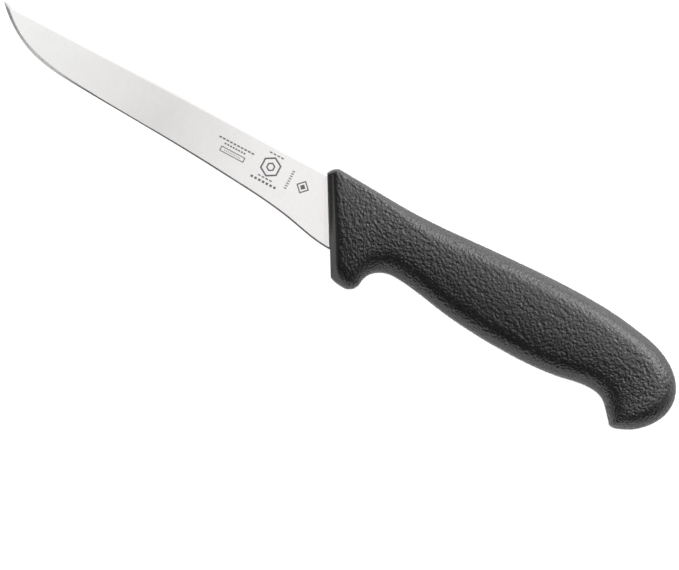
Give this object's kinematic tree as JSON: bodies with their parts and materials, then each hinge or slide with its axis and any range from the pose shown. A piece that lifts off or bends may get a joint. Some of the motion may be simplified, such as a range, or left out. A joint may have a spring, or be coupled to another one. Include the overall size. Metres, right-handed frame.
{
  "type": "boning knife",
  "caption": "Boning knife with a slim straight-spined blade, a raised finger guard and a grained moulded handle that hooks at the butt.",
  "frame": {"origin": "middle of the box round the knife, on the surface it lies on, with the knife on its side", "axes": "+X from the tip to the butt, +Y from the cutting edge to the spine, +Z through the thickness of the knife"},
  "size_m": [0.2934, 0.0402, 0.0188],
  "materials": {
    "satin_steel": "fine satin grind along the blade",
    "handle_rubber": "matte charcoal with a fine moulded leather grain"
  },
  "bodies": {
    "root": {"blade": "satin_steel", "handle": "handle_rubber"}
  },
  "joints": []
}
